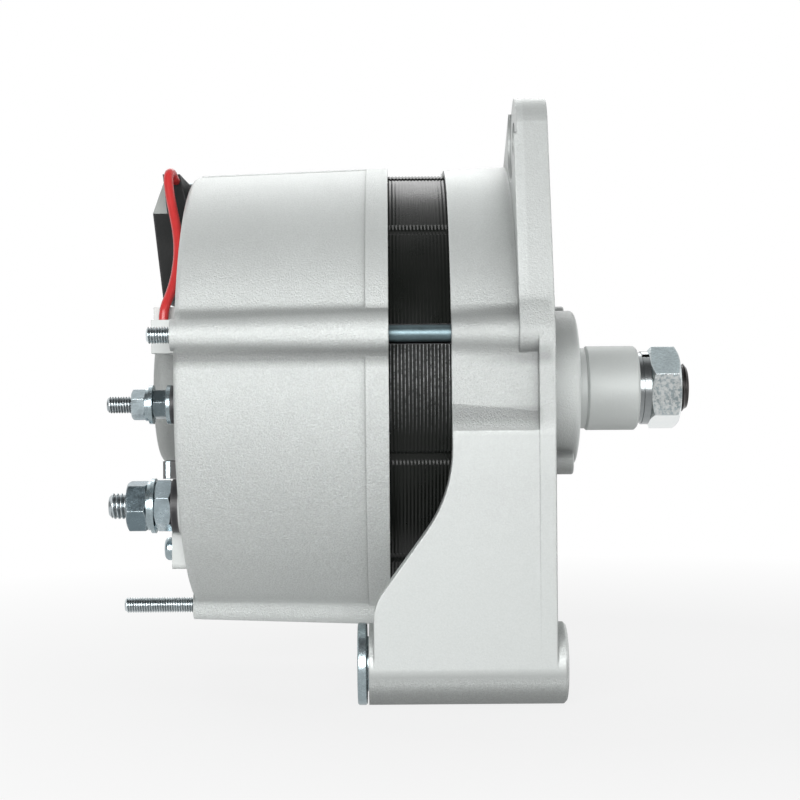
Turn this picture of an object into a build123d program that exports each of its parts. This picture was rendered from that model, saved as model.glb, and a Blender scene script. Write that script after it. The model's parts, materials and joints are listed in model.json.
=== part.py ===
from build123d import *
from math import cos, hypot, radians, sin, tan
import os

# A claw-pole alternator for a tractor or truck engine, in millimetres.
# X runs along the shaft, towards the pulley end, and is 0 where a pulley seats.
# Z is up. The side with the ear, the foot and the terminals faces -Y.
# Lengths called setback, depth or height are taken from the face that they name.
# A bare thread is drawn at its outside diameter and an engaged one at its pitch diameter.

# Shaft and what is clamped on its free end
shaft_r = 8.5
shaft_body_r = 10.0
shaft_tail_r = 7.5
shaft_tail_setback = 0.6
thread_r = 8.0
thread_pitch_r = 7.5
thread_chamfer = 0.9
thread_overhang = 3.1
spacer_r = 14.0
spacer_length = 17.3
spacer_chamfer = 0.8
plain_washer_r = 11.8
plain_washer_thickness = 1.6
spring_washer_r = 12.2
spring_washer_inner_r = 8.3
spring_washer_thickness = 2.3
spring_washer_gap = 2.0
spring_washer_turn = 120.0
pulley_nut_flats = 24.0
pulley_nut_thickness = 9.8
pulley_nut_turn = 41.3

# Bearings: a 17 x 47 x 14 at the pulley end and a 15 x 35 x 11 at the slip rings
front_bearing_r = 23.5
front_bearing_width = 14.0
rear_bearing_r = 17.5
rear_bearing_width = 11.0
race_share = 0.26
ball_share = 0.29
balls_per_bearing = 7
ball_clearance = 0.15
shield_recess = 0.7
shield_thickness = 0.8
shield_clearance = 0.3

# Front housing along the shaft
collar_r = 13.4
collar_clearance = 0.5
boss_setback = 3.4
boss_lip = 2.5
boss_r = 25.9
boss_rounding = 1.8
boss_step_r = 28.0
boss_step_height = 2.4
flange_setback = 16.6
front_wall = 6.2
front_skirt_length = 29.9
front_skirt_wall = 3.6
front_draft = 3.0
rim_overhang = 1.6
rim_thickness = 4.8
plate_margin = 0.3
edge_rounding = 0.8
overcut = 1.0

# Stator and rear housing along the shaft
stack_visible = 18.3
stack_seat = 4.1
stack_r = 70.3
stack_depth = 17.8
seat_clearance = 0.1
slots = 36
slot_width = 4.8
slot_mouth = 2.6
slot_depth = 8.6
slot_lip = 1.4
bar_clearance = 0.2
end_turn_length = 12.0
end_turn_margin = 2.0
end_turn_rounding_share = 1 / 3
seams = 12
seam_width = 4.0
seam_depth = 0.8
rear_depth = 63.0
rear_band_length = 6.8
rear_band_wall = 2.8
rear_band_step = 0.6
rear_draft = 2.0
rear_wall = 5.0
rear_rounding = 2.0
cavity_inset = 3.3
hub_r = 25.0
hub_height = 12.7
hub_rounding = 4.5
hub_floor = 2.6

# Through bolts
bolts = 4
bolt_outset = 0.8
bolt_turn = 167.0
bolt_r = 2.5
bolt_pitch_r = 2.25
bolt_engagement = 15.0
bare_thread_gap = 0.3
bolt_hole_clearance = 0.1
bolt_groove_clearance = 0.5
bolt_head_r = 4.2
bolt_head_height = 3.4
bolt_head_recess = 3.8
bolt_key_flats = 4.0
bolt_key_depth = 1.9
tip_chamfer_share = 0.2
bolt_tip = 7.6
long_bolt_tip = 23.0
rib_r = 6.7
rib_blend = 5.0
rib_end_height = 0.6

# Ear for the belt-tension strap
ear_reach = 14.4
ear_turn = 120.25
ear_r = 12.3
ear_hole_r = 5.1
ear_thickness = 10.3
ear_spot_r = 12.8
ear_spot_depth = 0.9
ear_root_r = 6.0
ear_root_turn = 101.0

# Foot that swings on the engine bracket
foot_reach = 29.5
foot_turn = 231.75
foot_r = 12.0
foot_hole_r = 5.1
foot_front_setback = 13.3
foot_length = 57.9
foot_root_r = 7.0
foot_root_turn = 258.0
foot_web = 9.0
foot_web_top_z = -5.0
foot_web_face_z = -12.5
foot_curve_z = -17.5
foot_curve_r = 41.0
foot_curve_turn = 36.0
foot_heel_r = 14.0
foot_heel_inset = 1.5
foot_stack_clearance = 0.6
bush_r = 8.0
bush_length = 23.4
bush_pocket = 26.5
bush_flange = 2.8
bush_gap = 0.5
bush_clearance = 0.05

# Ventilation windows
front_windows = 10
front_window_inner_margin, front_window_outer_margin = 3.0, 6.0
front_spoke = 9.0
rear_window_inner_margin, rear_window_outer_margin = 6.0, 10.0
rear_windows = 5
rear_window_first, rear_window_step = -66.0, 24.0
rear_window_width = 14.0
window_rounding = 2.5

# Bearing retainer, screwed into two blind lobes beside the boss
lobe_circle_r = 27.6
lobes = 2
lobe_turn = 240.8
lobe_r = 4.0
lobe_setback = 5.1
retainer_r = 32.0
retainer_thickness = 2.0
retainer_bore_r = 19.0
retainer_clearance = 0.4
retainer_screw_r = 2.0
retainer_screw_length = 10.0
retainer_head_r = 3.4
retainer_head_height = 2.2

# Rotor
air_gap = 0.4
rotor_length = 46.0
pole_disc = 10.5
poles_per_side = 6
finger_root, finger_tip = 33.0, 13.0
finger_root_depth, finger_tip_depth = 9.0, 4.5
finger_end_gap = 2.5
arm_r = 34.0
core_r = 23.0
coil_r = 39.0
bobbin_wall = 1.6
bobbin_clearance = 0.3

# Slip rings and brushes
ring_r = 13.5
ring_width = 7.0
ring_gap = 2.2
ring_wall = 2.6
ring_from_wall = 2.5
ring_sleeve_margin = 1.0
brush_width, brush_length = 4.6, 6.4
brush_height = 14.0
brush_gap = 0.25
brush_guide_clearance = 0.15
spring_wire_r = 0.3
spring_coil_r = 1.7
spring_length = 9.0
spring_turns = 5
holder_wall = 2.0
holder_ring_gap = 1.2
holder_neck = 9.5
holder_slot_clearance = 0.4

# Regulator on the rear face
regulator_half_width = 22.0
regulator_hub_gap, regulator_rim_gap = 3.5, 3.0
regulator_peak_drop, regulator_seat_drop = 12.6, 15.5
regulator_bottom_depth, regulator_peak_depth, regulator_top_depth = 9.1, 12.3, 9.1
regulator_top_inset = 3.6
regulator_facet_width, regulator_facet_lean = 4.6, 7.0
regulator_corner_y, regulator_corner_drop = 8.0, 11.5
regulator_screw_y, regulator_screw_rise = 15.0, 8.5
regulator_screw_r = 2.0
regulator_head_r = 3.8
regulator_head_height = 2.6
regulator_foot = 3.0
counterbore_clearance = 0.3

# Battery terminal on the rear face
b_inset, b_turn = 16.0, 218.8
b_stud_r = 4.0
b_pitch_r = 3.6
b_tip = 23.0
b_head_r, b_head_height = 6.5, 3.5
b_seat_washer_r, b_seat_washer_thickness = 8.6, 1.2
b_insulator_r, b_insulator_thickness = 8.2, 2.3
b_neck_r = 6.0
b_inner_nut, b_outer_nut = 5.2, 6.2
b_flats = 14.0
b_inner_turn, b_outer_turn = 40.0, 8.5
b_washer_r = 8.4

# Exciter terminal on the rear face
d_inset, d_turn = 12.35, 184.1
d_stud_r = 2.5
d_pitch_r = 2.25
d_tip = 20.7
d_head_r, d_head_height = 4.5, 2.5
d_insulator_r, d_insulator_thickness = 5.7, 1.6
d_neck_r, d_neck_rise = 3.6, 0.8
d_nut = 4.1
d_flats = 8.0
d_inner_turn, d_outer_turn = 51.0, 38.4
d_washer_r = 5.8
washer_thickness = 1.2
lock_washer_thickness = 1.1
lock_washer_inset = 0.9
hole_clearance = 0.1

# Phase terminal and plastic cover on the rear face
w_inset, w_turn = 28.9, 214.35
w_width, w_height, w_depth = 9.0, 5.4, 7.1
w_blade_setback, w_blade_thickness, w_blade_width = 0.8, 1.4, 5.5
cover_inset, cover_turn = 12.45, 235.5
cover_width, cover_height, cover_depth = 12.0, 11.8, 4.6
cover_rounding = 1.5
cover_screw_r = 2.0
cover_head_r, cover_head_height = 3.6, 2.8

# Rectifier plates inside the rear housing
plate_hub_gap, plate_margin_out = 6.0, 5.0
plate_thickness = 3.5
plate_from_wall = 4.0
plate_gap = 8.0
plate_start, plate_sweep = 195.0, 150.0
diode_r = 6.35
diode_rise = 2.0
diode_pin_r, diode_pin_length = 0.8, 5.0
diode_inset = 16.0
diode_first, diode_step = 243.0, 38.0
phases = 3
exciter_diode_r, exciter_diode_height = 2.8, 6.0
exciter_inset, exciter_first = 5.0, 238.0
standoffs = 3
standoff_inset, standoff_r = 4.0, 4.2
standoff_first, standoff_step = 203.0, 63.5
plate_screw_r, plate_head_r, plate_head_height = 2.0, 3.5, 2.4

# Plug at the lower end of the red lead
plug_inset, plug_turn = 23.9, 157.75
plug_width, plug_height, plug_depth = 12.0, 14.4, 9.0
plug_step = 4.2
plug_hole_r = 1.5

# Red lead from the regulator's side to its plug
lead_r = 1.35
lead_arc_share = 0.45
lead_route = [
    (-132.8, -22.0, 67.4),
    (-132.8, -24.5, 67.4),
    (-133.2, -27.2, 69.2),
    (-133.8, -29.9, 68.8),
    (-133.9, -31.4, 65.9),
    (-133.1, -32.5, 61.0),
    (-131.9, -34.0, 55.7),
    (-130.7, -35.8, 50.4),
    (-129.9, -38.2, 45.2),
    (-129.8, -40.6, 39.8),
    (-130.4, -43.0, 34.3),
    (-131.7, -45.4, 29.2),
    (-132.9, -47.3, 26.0),
    (-133.4, -48.0, 22.4),
    (-133.4, -48.0, 19.0),
]

# Radii that follow from the stack's
stack_bore_r = stack_r - stack_depth
cavity_r = stack_r - cavity_inset
bolt_circle_r = stack_r + bolt_outset
front_skirt_r = stack_r + front_skirt_wall
rim_r = front_skirt_r + rim_overhang
rear_band_r = stack_r + rear_band_wall
rear_skirt_r = rear_band_r - rear_band_step
end_turn_inner_r = stack_bore_r + end_turn_margin
end_turn_outer_r = cavity_r - end_turn_margin
end_turn_rounding = end_turn_rounding_share * (end_turn_outer_r - end_turn_inner_r)
front_window_in = retainer_r + front_window_inner_margin
front_window_out = cavity_r - front_window_outer_margin
rear_window_in = hub_r + rear_window_inner_margin
rear_window_out = cavity_r - rear_window_outer_margin
plate_in = hub_r + plate_hub_gap
plate_out = cavity_r - plate_margin_out
diode_circle_r = plate_out - diode_inset
exciter_circle_r = plate_out - exciter_inset
standoff_circle_r = plate_out - standoff_inset
regulator_bottom_z = hub_r + regulator_hub_gap
regulator_top_z = rear_skirt_r - regulator_rim_gap
regulator_peak_z = regulator_top_z - regulator_peak_drop
regulator_seat_z = regulator_top_z - regulator_seat_drop
regulator_corner_z = regulator_top_z - regulator_corner_drop
regulator_screw_z = regulator_bottom_z + regulator_screw_rise

# Places along the shaft that follow from the lengths above
boss_x = -boss_setback
front_bearing_x = boss_x - boss_lip
front_bearing_back_x = front_bearing_x - front_bearing_width
flange_x = -flange_setback
rim_x = flange_x - rim_thickness
front_wall_x = flange_x - front_wall
front_edge_x = flange_x - front_skirt_length
rear_edge_x = front_edge_x - stack_visible
stack_front_x = front_edge_x + stack_seat
stack_rear_x = rear_edge_x - stack_seat
rear_face_x = rear_edge_x - rear_depth
rear_wall_x = rear_face_x + rear_wall
band_x = rear_edge_x - rear_band_length
rib_end_x = rear_face_x - rib_end_height
bolt_thread_end_x = rib_end_x + bolt_engagement
hub_x = rear_face_x - hub_height
rear_bearing_x = hub_x + hub_floor
rear_bearing_front_x = rear_bearing_x + rear_bearing_width
rotor_r = stack_bore_r - air_gap
rotor_front_x = (stack_front_x + stack_rear_x + rotor_length) / 2
rotor_rear_x = rotor_front_x - rotor_length
ring_rear_x = rear_wall_x + ring_from_wall
ring_pitch = ring_width + ring_gap
ring_middles = [ring_rear_x + ring_width / 2 + ring_pitch * n for n in range(2)]
ring_sleeve_front_x = ring_rear_x + ring_pitch + ring_width + ring_sleeve_margin
foot_front_x = -foot_front_setback
foot_rear_x = foot_front_x - foot_length
negative_plate_x = rear_wall_x + plate_from_wall
positive_plate_x = negative_plate_x + plate_thickness + plate_gap
spring_washer_x = spacer_length + plain_washer_thickness
nut_x = spring_washer_x + spring_washer_thickness
nut_end_x = nut_x + pulley_nut_thickness
shaft_tip_x = nut_end_x + thread_overhang
brush_top_z = ring_r + brush_gap + brush_height
holder_channel_z = brush_top_z + spring_length
holder_top_z = holder_channel_z + holder_wall
holder_half_width = brush_length / 2 + brush_guide_clearance + holder_wall
holder_half_step = brush_width / 2 + brush_guide_clearance + holder_wall


def on_circle(radius, turn):
    """The point (y, z) at that radius and angle from +Y about the shaft."""
    return radius * cos(radians(turn)), radius * sin(radians(turn))


ear_y, ear_z = on_circle(front_skirt_r + ear_reach, ear_turn)
foot_y, foot_z = on_circle(front_skirt_r + foot_reach, foot_turn)
foot_side_y = foot_y - foot_r
b_y, b_z = on_circle(rear_skirt_r - b_inset, b_turn)
d_y, d_z = on_circle(rear_skirt_r - d_inset, d_turn)
w_y, w_z = on_circle(rear_skirt_r - w_inset, w_turn)
cover_y, cover_z = on_circle(rear_skirt_r - cover_inset, cover_turn)
plug_y, plug_z = on_circle(rear_skirt_r - plug_inset, plug_turn)
bolt_turns = [bolt_turn - 360 / bolts * n for n in range(bolts)]
bolt_places = [on_circle(bolt_circle_r, turn) for turn in bolt_turns]
lobe_places = [on_circle(lobe_circle_r, lobe_turn + 360 / lobes * n) for n in range(lobes)]
standoff_places = [on_circle(standoff_circle_r, standoff_first + standoff_step * n) for n in range(standoffs)]
regulator_screw_places = [(side * regulator_screw_y, regulator_screw_z) for side in (-1, 1)]


def slab(sketch, x0, x1):
    """A flat outline drawn as (y, z), made solid from x0 to x1."""
    return extrude(Plane.YZ.offset(min(x0, x1)) * sketch, amount=abs(x1 - x0))


def disc(x0, x1, radius, y=0.0, z=0.0):
    return slab(Pos(y, z) * Circle(radius), x0, x1)


def tube(x0, x1, outer, inner, y=0.0, z=0.0):
    return slab(Pos(y, z) * (Circle(outer) - Circle(inner)), x0, x1)


def block(x0, x1, y, z, width, height):
    return slab(Pos(y, z) * Rectangle(width, height), x0, x1)


def turned(*points):
    """A solid turned about the shaft from its half section, given as (x, r)."""
    return revolve(Plane.XZ * make_face(Polyline(*points, close=True)), Axis.X)


def group(solids):
    return Compound(children=[solid for shape in solids for solid in shape.solids()])


def hex_nut(x0, x1, flats, bore_r, y=0.0, z=0.0, turn=0.0):
    """A hexagon nut with both faces chamfered to a circle."""
    corner = flats / 2 / cos(radians(30))
    lift = (corner - flats / 2) * tan(radians(30))
    half = [(x0, 0), (x0, flats / 2), (x0 + lift, corner), (x1 - lift, corner), (x1, flats / 2), (x1, 0)]
    ends = turned(*half)
    body = Rot(turn, 0, 0) * (slab(RegularPolygon(corner, 6), x0, x1) & ends)
    return Pos(0, y, z) * body - disc(x0, x1, bore_r, y, z)


def pan_screw(seat_x, tip_x, shank_r, head_r, head_height, y, z):
    """A screw with a domed head whose underside is on seat_x, away from tip_x."""
    away = 1 if seat_x > tip_x else -1
    head = disc(seat_x, seat_x + away * head_height, head_r)
    crown = head.edges().group_by(Axis.X)[-1 if away > 0 else 0]
    head = fillet(crown, head_height / 2)
    return Pos(0, y, z) * (head + disc(seat_x, tip_x, shank_r))


def bare_tip(tip_x, seat_x, radius):
    """The free end of a thread, up to just short of what sits on it at seat_x."""
    tip = disc(tip_x, seat_x - bare_thread_gap, radius)
    return chamfer(tip.edges().group_by(Axis.X)[0], tip_chamfer_share * radius)


def stud(tip_x, nut_x, head_x, radius, pitch_r, head_r, head_height, y, z):
    """A terminal stud: a round head inside the housing, a bare thread beyond the outer nut."""
    shank = bare_tip(tip_x, nut_x, radius) + disc(nut_x - bare_thread_gap, head_x, pitch_r)
    return Pos(0, y, z) * (shank + disc(head_x, head_x + head_height, head_r))


def collared(x0, x1, x2, outer, neck, inner, y, z):
    """An insulator: a flange from x0 to x1 and a neck on to x2, round a stud."""
    return disc(x0, x1, outer, y, z) + disc(x1, x2, neck, y, z) - disc(x0, x2, inner, y, z)


# Castings


def ribbed_outline(radius):
    """The housing's outline: a circle with a blended rib round each through bolt."""
    outline = Rot(0, 0, bolt_turn) * Circle(radius)
    for turn in bolt_turns:
        outline += Rot(0, 0, turn) * Pos(bolt_circle_r, 0) * Rot(0, 0, 180) * Circle(rib_r)
    return fillet(outline.vertices(), rib_blend)


def band_round(*circles):
    """The outline of a band stretched round circles, given anticlockwise as (y, z, radius)."""
    corners = []
    for (y0, z0, r0), (y1, z1, r1) in zip(circles, circles[1:] + circles[:1]):
        reach = hypot(y1 - y0, z1 - z0)
        along_y, along_z = (y1 - y0) / reach, (z1 - z0) / reach
        lean = (r0 - r1) / reach
        side = (1 - lean**2) ** 0.5
        out_y = along_z * side + along_y * lean
        out_z = along_z * lean - along_y * side
        corners += [(y0 + r0 * out_y, z0 + r0 * out_z), (y1 + r1 * out_y, z1 + r1 * out_z)]
    outline = make_face(Polyline(*corners, close=True))
    for y, z, radius in circles:
        outline += Pos(y, z) * Circle(radius)
    return outline


def window_ring(inner, outer, count, spoke):
    ring = Circle(outer) - Circle(inner)
    for n in range(count):
        ring -= Rot(0, 0, 360 * n / count) * Pos((inner + outer) / 2, 0) * Rectangle(outer, spoke)
    return [fillet(window.vertices(), window_rounding) for window in ring.faces()]


def ear_outline():
    near_rib = (*bolt_places[0], rib_r + plate_margin)
    root = (*on_circle(front_skirt_r - ear_root_r, ear_root_turn), ear_root_r)
    return band_round((ear_y, ear_z, ear_r), near_rib, root)


def foot_outline():
    near_rib = (*bolt_places[0], rib_r + plate_margin)
    root = (*on_circle(front_skirt_r - foot_root_r, foot_root_turn), foot_root_r)
    return band_round((foot_y, foot_z, foot_r), root, near_rib)


def foot_side():
    """The foot's web seen from the side, as (x, z): an S-shaped rear edge down to the heel."""
    turn, half = radians(foot_curve_turn), radians(foot_curve_turn / 2)
    upper_end = (front_edge_x - foot_curve_r * (1 - cos(turn)), foot_curve_z - foot_curve_r * sin(turn))
    upper_mid = (front_edge_x - foot_curve_r * (1 - cos(half)), foot_curve_z - foot_curve_r * sin(half))
    heel_x = foot_rear_x + foot_heel_inset
    lower_start_x = heel_x + foot_heel_r * (1 - cos(turn))
    lower_start = (lower_start_x, upper_end[1] - (upper_end[0] - lower_start_x) / tan(turn))
    heel_z = lower_start[1] - foot_heel_r * sin(turn)
    lower_mid = (heel_x + foot_heel_r * (1 - cos(half)), heel_z + foot_heel_r * sin(half))
    edge = Polyline((heel_x, heel_z), (heel_x, foot_z), (rim_x, foot_z), (rim_x, foot_web_top_z))
    edge += Polyline((rim_x, foot_web_top_z), (front_edge_x, foot_web_top_z), (front_edge_x, foot_curve_z))
    edge += ThreePointArc((front_edge_x, foot_curve_z), upper_mid, upper_end)
    edge += Line(upper_end, lower_start)
    edge += ThreePointArc(lower_start, lower_mid, (heel_x, heel_z))
    return make_face(edge)


def foot_shoulder():
    """What is cut off above the web, so that it ramps up out of the skirt."""
    skirt_y = -hypot(front_skirt_r, foot_web_top_z) + rim_r - front_skirt_r
    ramp = Polyline(
        (foot_side_y - overcut, foot_web_top_z + overcut),
        (skirt_y, foot_web_top_z + overcut),
        (skirt_y, foot_web_top_z),
        (foot_side_y, foot_web_face_z),
        (foot_side_y - overcut, foot_web_face_z),
        close=True,
    )
    return slab(make_face(ramp), front_edge_x, rim_x)


def front_shell():
    """The skirt with its ribs, the rim, the ear, the foot and the boss, still solid inside."""
    outline = Plane.YZ.offset(flange_x) * ribbed_outline(front_skirt_r)
    body = extrude(outline, amount=-front_skirt_length, taper=front_draft)
    body += slab(Circle(rim_r) + foot_outline(), rim_x, flange_x)
    body += slab(ear_outline(), flange_x - ear_thickness, flange_x)
    web = extrude(Plane.XZ.offset(-foot_side_y) * foot_side(), amount=-foot_web)
    body += web - foot_shoulder()
    barrel = disc(foot_rear_x, foot_front_x, foot_r, foot_y, foot_z)
    body += chamfer(barrel.edges().group_by(Axis.X)[-1], edge_rounding)
    boss = disc(boss_x, flange_x, boss_r)
    body += fillet(boss.edges().group_by(Axis.X)[-1], boss_rounding)
    step = disc(flange_x, flange_x + boss_step_height, boss_step_r)
    body += fillet(step.edges().group_by(Axis.X)[-1], edge_rounding)
    for y, z in lobe_places:
        lobe = disc(-lobe_setback, flange_x, lobe_r, y, z)
        body += fillet(lobe.edges().group_by(Axis.X)[-1], edge_rounding)
    return body


def front_housing():
    body = front_shell()
    body -= disc(foot_rear_x, front_edge_x, stack_r + foot_stack_clearance)
    body -= disc(front_edge_x, stack_front_x, stack_r + seat_clearance)
    body -= disc(stack_front_x, front_wall_x, cavity_r)
    body -= disc(front_wall_x, front_bearing_back_x, retainer_r + retainer_clearance)
    body -= disc(front_bearing_back_x, front_bearing_x, front_bearing_r)
    body -= disc(front_bearing_x, boss_x, collar_r + collar_clearance)
    for window in window_ring(front_window_in, front_window_out, front_windows, front_spoke):
        body -= slab(window, front_wall_x, flange_x)
    for y, z in bolt_places:
        body -= disc(front_edge_x, flange_x, bolt_r + bolt_hole_clearance, y, z)
        body -= disc(flange_x - bolt_head_recess, flange_x, bolt_head_r + counterbore_clearance, y, z)
    screw_end_x = front_bearing_back_x + retainer_screw_length
    for y, z in lobe_places:
        body -= disc(front_bearing_back_x, screw_end_x, retainer_screw_r, y, z)
    body -= disc(flange_x - ear_thickness, flange_x, ear_hole_r, ear_y, ear_z)
    ear_back_x = flange_x - ear_thickness
    body -= disc(ear_back_x, ear_back_x + ear_spot_depth, ear_spot_r, ear_y, ear_z)
    body -= disc(foot_rear_x, foot_front_x, foot_hole_r, foot_y, foot_z)
    body -= disc(foot_rear_x, foot_rear_x + bush_pocket, bush_r + bush_clearance, foot_y, foot_z)
    return body


def rear_shell():
    """The bell with its ribs, seating band, hub and standoffs, hollowed out."""
    outline = Plane.YZ.offset(band_x) * ribbed_outline(rear_skirt_r)
    body = extrude(outline, amount=rear_band_length - rear_depth, taper=rear_draft)
    body = fillet(body.faces().sort_by(Axis.X)[0].edges(), rear_rounding)
    body += slab(ribbed_outline(rear_skirt_r), band_x, rear_edge_x)
    body += disc(band_x, rear_edge_x, rear_band_r)
    for y, z in bolt_places:
        body += disc(rib_end_x, rear_face_x + rear_rounding, rib_r - rear_rounding, y, z)
    body -= disc(rear_edge_x, stack_rear_x, stack_r + seat_clearance)
    body -= disc(stack_rear_x, rear_wall_x, cavity_r)
    hub = disc(hub_x, rear_wall_x, hub_r)
    body += fillet(hub.edges().group_by(Axis.X)[0], hub_rounding)
    for y, z in standoff_places:
        body += disc(rear_wall_x, negative_plate_x, standoff_r, y, z)
    return body


def rear_housing():
    body = rear_shell()
    body -= disc(rear_bearing_x, rear_bearing_front_x, rear_bearing_r)
    body -= disc(rear_bearing_front_x, rear_wall_x, ring_r + ring_sleeve_margin)
    window = Circle(rear_window_out) - Circle(rear_window_in)
    window &= Pos((rear_window_in + rear_window_out) / 2, 0) * Rectangle(rear_window_out, rear_window_width)
    window = fillet(window.faces().sort_by(Axis.X)[-1].vertices(), window_rounding)
    for n in range(rear_windows):
        turn = rear_window_first + rear_window_step * n
        body -= slab(Rot(0, 0, turn) * window, rear_face_x, rear_wall_x)
    for y, z in bolt_places:
        body -= disc(rib_end_x, bolt_thread_end_x, bolt_pitch_r, y, z)
        body -= disc(bolt_thread_end_x, rear_edge_x, bolt_r + bolt_hole_clearance, y, z)
    for y, z in standoff_places:
        body -= disc(rear_face_x + rear_wall / 2, negative_plate_x, plate_screw_r, y, z)
    for y, z in regulator_screw_places:
        body -= disc(rear_face_x, rear_wall_x, regulator_screw_r, y, z)
    body -= disc(rear_face_x, rear_wall_x, cover_screw_r, cover_y, cover_z)
    body -= disc(rear_face_x, rear_wall_x, b_neck_r + hole_clearance, b_y, b_z)
    body -= disc(rear_face_x, rear_wall_x, d_neck_r + hole_clearance, d_y, d_z)
    slot_width_y = 2 * (holder_half_width + holder_slot_clearance)
    slot_height = holder_neck + 2 * holder_slot_clearance
    body -= block(rear_face_x, rear_wall_x, 0, holder_top_z - holder_neck / 2, slot_width_y, slot_height)
    return body


# Stator


def stator_core():
    ring = Circle(stack_r) - Circle(stack_bore_r)
    middle = stack_bore_r + slot_lip + slot_depth / 2
    ring -= [place * Rectangle(slot_depth, slot_width) for place in PolarLocations(middle, slots)]
    mouth = stack_bore_r + slot_lip / 2
    ring -= [place * Rectangle(2 * slot_lip, slot_mouth) for place in PolarLocations(mouth, slots)]
    for n in range(seams):
        turn = bolt_turn + 360 / seams * n
        ring -= Rot(0, 0, turn) * Pos(stack_r, 0) * Rectangle(2 * seam_depth, seam_width)
    for y, z in bolt_places:
        ring -= Pos(y, z) * Circle(bolt_r + bolt_groove_clearance)
    return slab(ring, stack_rear_x, stack_front_x)


def end_turns(x0, x1):
    middle = Pos((x0 + x1) / 2, (end_turn_inner_r + end_turn_outer_r) / 2)
    section = middle * RectangleRounded(abs(x1 - x0), end_turn_outer_r - end_turn_inner_r, end_turn_rounding)
    return revolve(Plane.XZ * section, Axis.X)


def stator_windings():
    """Slot bars inside the stack, joined by a rounded bundle at each end."""
    middle = stack_bore_r + slot_lip + slot_depth / 2
    bar = Rectangle(slot_depth - 2 * bar_clearance, slot_width - 2 * bar_clearance)
    bars = Sketch() + [place * bar for place in PolarLocations(middle, slots)]
    reach = end_turn_length / 2
    body = slab(bars, stack_rear_x - reach, stack_front_x + reach)
    body += end_turns(stack_front_x + bar_clearance, stack_front_x + end_turn_length)
    body += end_turns(stack_rear_x - bar_clearance, stack_rear_x - end_turn_length)
    return body


# Bearings


def bearing(x0, x1, bore_r, outer_r):
    """The outer ring, inner ring, balls and shields of a shielded ball bearing."""
    depth = outer_r - bore_r
    pitch_r, ball_r = (bore_r + outer_r) / 2, ball_share * depth
    race = race_share * depth
    middle = (x0 + x1) / 2
    groove = Plane.XZ * Pos(middle, pitch_r) * Circle(ball_r + ball_clearance)
    groove = revolve(groove, Axis.X)
    outer = tube(x0, x1, outer_r, outer_r - race) - groove
    inner = tube(x0, x1, bore_r + race, bore_r) - groove
    balls = [Rot(360 / balls_per_bearing * n, 0, 0) * Pos(middle, pitch_r, 0) * Sphere(ball_r)
             for n in range(balls_per_bearing)]
    shields = [tube(start, start + shield_thickness, outer_r - race, bore_r + race + shield_clearance)
               for start in (x0 + shield_recess, x1 - shield_recess - shield_thickness)]
    return outer, inner, group(balls), group(shields)


def bearing_retainer():
    plate = tube(front_bearing_back_x - retainer_thickness, front_bearing_back_x, retainer_r, retainer_bore_r)
    for y, z in lobe_places:
        plate -= disc(front_wall_x, front_bearing_back_x, retainer_screw_r + hole_clearance, y, z)
    return plate


def retainer_screws():
    seat_x = front_bearing_back_x - retainer_thickness
    tip_x = front_bearing_back_x + retainer_screw_length
    sizes = (retainer_screw_r, retainer_head_r, retainer_head_height)
    return group([pan_screw(seat_x, tip_x, *sizes, y, z) for y, z in lobe_places])


# Rotor


def shaft():
    tail_x = rear_bearing_x + shaft_tail_setback
    seat_end_x = spacer_length - thread_chamfer
    return turned(
        (tail_x, 0),
        (tail_x, shaft_tail_r),
        (ring_sleeve_front_x, shaft_tail_r),
        (ring_sleeve_front_x, shaft_body_r),
        (front_bearing_back_x, shaft_body_r),
        (front_bearing_back_x, shaft_r),
        (seat_end_x, shaft_r),
        (seat_end_x, thread_r),
        (nut_x, thread_r),
        (nut_x, thread_pitch_r),
        (nut_end_x, thread_pitch_r),
        (nut_end_x, thread_r),
        (shaft_tip_x - thread_chamfer, thread_r),
        (shaft_tip_x, thread_r - thread_chamfer),
        (shaft_tip_x, 0),
    )


def spring_washer():
    ring = Circle(spring_washer_r) - Circle(spring_washer_inner_r)
    ring -= Pos(spring_washer_r, 0) * Rectangle(2 * spring_washer_r, spring_washer_gap)
    return slab(Rot(0, 0, spring_washer_turn) * ring, spring_washer_x, nut_x)


def spacer_sleeve():
    sleeve = disc(0, spacer_length, spacer_r)
    sleeve = chamfer(sleeve.edges(), spacer_chamfer)
    return sleeve - disc(0, spacer_length, shaft_r)


def pole_wheel(outer_x, tip_x):
    """A claw-pole wheel: six arms that bend over into tapered fingers."""
    inward = 1 if tip_x > outer_x else -1
    disc_x = outer_x + inward * pole_disc
    bell = turned(
        (outer_x, shaft_body_r),
        (outer_x, rotor_r - finger_tip_depth),
        (outer_x + inward * finger_tip_depth, rotor_r),
        (tip_x, rotor_r),
        (tip_x, rotor_r - finger_tip_depth),
        (disc_x, rotor_r - finger_root_depth),
        (disc_x, shaft_body_r),
    )
    finger = Polyline(
        (outer_x, -finger_root / 2),
        (outer_x, finger_root / 2),
        (tip_x, finger_tip / 2),
        (tip_x, -finger_tip / 2),
        close=True,
    )
    finger = extrude(Plane.XY * make_face(finger), amount=rotor_r)
    star = disc(outer_x, disc_x, arm_r)
    for n in range(poles_per_side):
        star += Rot(360 / poles_per_side * n, 0, 0) * finger
    return bell & star


def rotor_poles():
    front = pole_wheel(rotor_front_x, rotor_rear_x + finger_end_gap)
    rear = pole_wheel(rotor_rear_x, rotor_front_x - finger_end_gap)
    return front, Rot(180 / poles_per_side, 0, 0) * rear


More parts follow.
